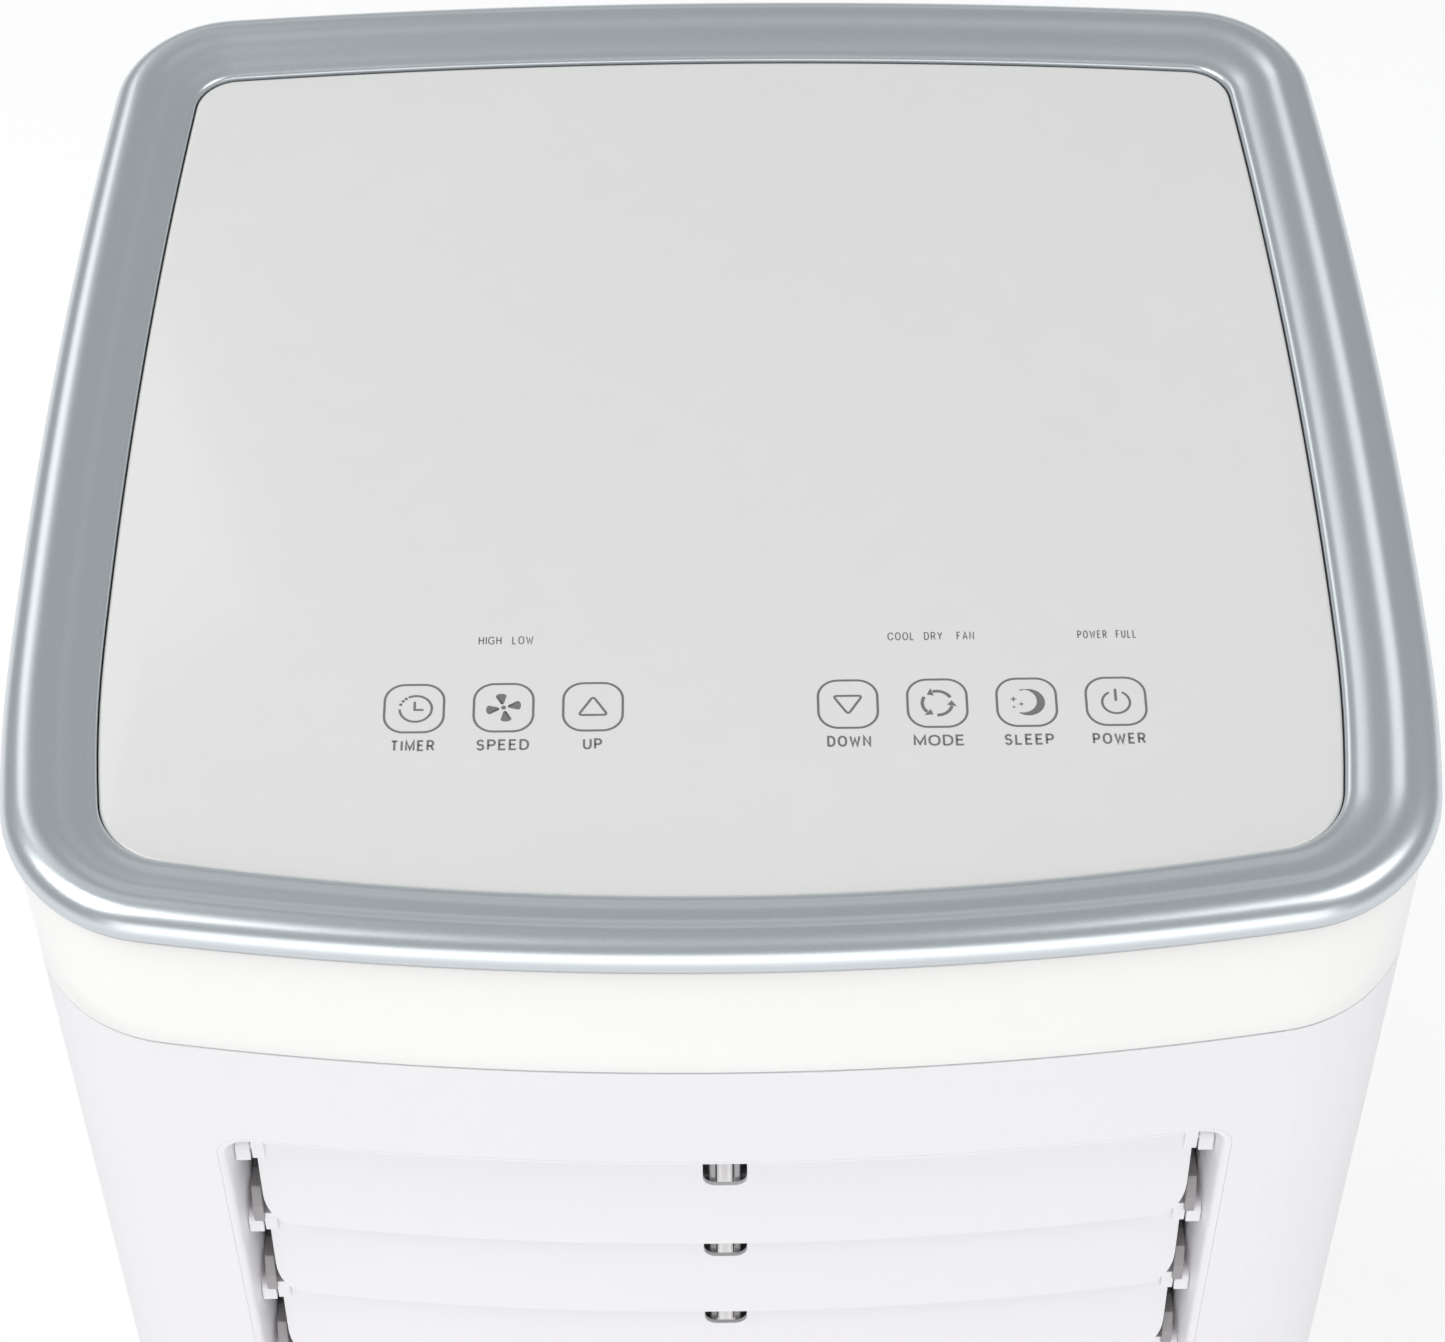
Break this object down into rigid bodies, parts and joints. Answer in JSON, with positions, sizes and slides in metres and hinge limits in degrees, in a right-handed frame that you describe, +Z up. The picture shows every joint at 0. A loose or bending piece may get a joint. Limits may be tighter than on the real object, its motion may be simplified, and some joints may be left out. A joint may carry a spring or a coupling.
{
  "type": "portable air conditioner",
  "caption": "Upright portable air conditioner on swivel casters, with a tilting front louver, touch panel top, silver rim, rear filter door and exhaust collar.",
  "frame": {"origin": "on the floor, under the middle of the body", "axes": "+Z up, the front with the air outlet faces -Y, +X to the right when looking at the front"},
  "size_m": [0.3214, 0.297, 0.64],
  "materials": {
    "rim_silver": "fine metallic silver paint, satin",
    "panel_gloss": "high gloss light grey-white",
    "cover_white": "warm white, satin",
    "shell_white": "cool white, fine moulded texture",
    "blade_white": "white, satin",
    "guard_grey": "mid grey, satin",
    "dark_plastic": "dark grey, fine texture",
    "wheel_black": "black nylon",
    "rubber_grey": "matte",
    "foam_grey": "light grey, matte",
    "filter_grey": "dark grey mesh",
    "black_paint": "black, semi-gloss",
    "steel": "zinc plated",
    "fin_aluminium": "rolled fins",
    "copper": "drawn copper tube",
    "board_green": "solder mask"
  },
  "bodies": {
    "cabinet": {"top_rim": "rim_silver", "control_panel": "panel_gloss", "top_cover": "cover_white", "front_shell": "shell_white", "rear_shell": "shell_white", "base_pan": "shell_white", "handle_cup_left": "shell_white", "handle_cup_right": "shell_white", "condenser_grille": "shell_white", "exhaust_collar": "shell_white", "cord_gland": "dark_plastic", "outlet_frame": "shell_white", "outlet_guard": "guard_grey", "compressor": "black_paint", "compressor_mount": "rubber_grey", "accumulator": "black_paint", "condenser_coil": "fin_aluminium", "evaporator_coil": "fin_aluminium", "filter_drier": "copper", "discharge_pipe": "copper", "suction_pipe": "copper", "condenser_outlet_pipe": "copper", "capillary_pipe": "copper", "partition_deck": "foam_grey", "blower_housing": "foam_grey", "blower_motor": "black_paint", "exhaust_fan_housing": "foam_grey", "exhaust_fan_motor": "black_paint", "slinger_motor": "black_paint", "float_stem": "dark_plastic", "control_box": "steel", "main_board": "board_green", "run_capacitor": "fin_aluminium", "display_board": "board_green"},
    "blade_1": {"louver_blade_1": "blade_white"},
    "blade_2": {"louver_blade_2": "blade_white"},
    "blade_3": {"louver_blade_3": "blade_white"},
    "blade_4": {"louver_blade_4": "blade_white"},
    "blade_5": {"louver_blade_5": "blade_white"},
    "link": {"louver_link": "blade_white"},
    "caster_1": {"caster_fork_1": "dark_plastic"},
    "caster_2": {"caster_fork_2": "dark_plastic"},
    "caster_3": {"caster_fork_3": "dark_plastic"},
    "caster_4": {"caster_fork_4": "dark_plastic"},
    "wheel_1": {"caster_wheel_1": "wheel_black"},
    "wheel_2": {"caster_wheel_2": "wheel_black"},
    "wheel_3": {"caster_wheel_3": "wheel_black"},
    "wheel_4": {"caster_wheel_4": "wheel_black"},
    "filter_door": {"filter_cover": "shell_white", "air_filter": "filter_grey"},
    "upper_cap": {"upper_drain_cap": "rubber_grey"},
    "lower_cap": {"lower_drain_cap": "rubber_grey"},
    "blower": {"blower_wheel": "dark_plastic", "blower_shaft": "steel"},
    "exhaust_fan": {"exhaust_fan_wheel": "dark_plastic", "exhaust_fan_shaft": "steel"},
    "slinger": {"slinger_wheel": "dark_plastic"},
    "float": {"water_float": "foam_grey"}
  },
  "joints": [
    {"name": "blade_1_tilt", "type": "hinge", "parent": "cabinet", "child": "blade_1", "pos_m": [0, -0.1316, 0.5378], "axis": [-1, 0, 0], "range_deg": [0, 70]},
    {"name": "blade_2_tilt", "type": "hinge", "parent": "cabinet", "child": "blade_2", "pos_m": [0, -0.1316, 0.5042], "axis": [-1, 0, 0], "range_deg": [0, 70]},
    {"name": "blade_3_tilt", "type": "hinge", "parent": "cabinet", "child": "blade_3", "pos_m": [0, -0.1316, 0.4706], "axis": [-1, 0, 0], "range_deg": [0, 70]},
    {"name": "blade_4_tilt", "type": "hinge", "parent": "cabinet", "child": "blade_4", "pos_m": [0, -0.1316, 0.437], "axis": [-1, 0, 0], "range_deg": [0, 70]},
    {"name": "blade_5_tilt", "type": "hinge", "parent": "cabinet", "child": "blade_5", "pos_m": [0, -0.1316, 0.4034], "axis": [-1, 0, 0], "range_deg": [0, 70]},
    {"name": "link_pivot", "type": "hinge", "parent": "blade_1", "child": "link", "pos_m": [0, -0.1226, 0.5318], "axis": [-1, 0, 0], "range_deg": [-70, 0]},
    {"name": "caster_1_swivel", "type": "hinge", "parent": "cabinet", "child": "caster_1", "pos_m": [-0.112, -0.102, 0.034], "axis": [0, 0, 1], "continuous": true},
    {"name": "caster_2_swivel", "type": "hinge", "parent": "cabinet", "child": "caster_2", "pos_m": [0.112, -0.102, 0.034], "axis": [0, 0, 1], "continuous": true},
    {"name": "caster_3_swivel", "type": "hinge", "parent": "cabinet", "child": "caster_3", "pos_m": [-0.112, 0.102, 0.034], "axis": [0, 0, 1], "continuous": true},
    {"name": "caster_4_swivel", "type": "hinge", "parent": "cabinet", "child": "caster_4", "pos_m": [0.112, 0.102, 0.034], "axis": [0, 0, 1], "continuous": true},
    {"name": "wheel_1_roll", "type": "hinge", "parent": "caster_1", "child": "wheel_1", "pos_m": [-0.112, -0.093, 0.015], "axis": [1, 0, 0], "continuous": true},
    {"name": "wheel_2_roll", "type": "hinge", "parent": "caster_2", "child": "wheel_2", "pos_m": [0.112, -0.093, 0.015], "axis": [1, 0, 0], "continuous": true},
    {"name": "wheel_3_roll", "type": "hinge", "parent": "caster_3", "child": "wheel_3", "pos_m": [-0.112, 0.111, 0.015], "axis": [1, 0, 0], "continuous": true},
    {"name": "wheel_4_roll", "type": "hinge", "parent": "caster_4", "child": "wheel_4", "pos_m": [0.112, 0.111, 0.015], "axis": [1, 0, 0], "continuous": true},
    {"name": "filter_door_pull", "type": "slide", "parent": "cabinet", "child": "filter_door", "axis": [0, 1, 0], "range_m": [0, 0.08]},
    {"name": "upper_cap_pull", "type": "slide", "parent": "cabinet", "child": "upper_cap", "axis": [0, 1, 0], "range_m": [0, 0.03]},
    {"name": "lower_cap_pull", "type": "slide", "parent": "cabinet", "child": "lower_cap", "axis": [0, 1, 0], "range_m": [0, 0.03]},
    {"name": "blower_spin", "type": "hinge", "parent": "cabinet", "child": "blower", "pos_m": [0, 0.05, 0.475], "axis": [0, 1, 0], "continuous": true},
    {"name": "exhaust_fan_spin", "type": "hinge", "parent": "cabinet", "child": "exhaust_fan", "pos_m": [0, 0.09, 0.29], "axis": [0, 1, 0], "continuous": true},
    {"name": "slinger_spin", "type": "hinge", "parent": "cabinet", "child": "slinger", "pos_m": [0.075, 0.099, 0.068], "axis": [0, 1, 0], "continuous": true},
    {"name": "float_rise", "type": "slide", "parent": "cabinet", "child": "float", "axis": [0, 0, 1], "range_m": [0, 0.015]}
  ],
  "couplings": [
    {"joint": "blade_2_tilt", "follows": "blade_1_tilt", "ratio": 1},
    {"joint": "blade_3_tilt", "follows": "blade_1_tilt", "ratio": 1},
    {"joint": "blade_4_tilt", "follows": "blade_1_tilt", "ratio": 1},
    {"joint": "blade_5_tilt", "follows": "blade_1_tilt", "ratio": 1},
    {"joint": "link_pivot", "follows": "blade_1_tilt", "ratio": -1}
  ]
}
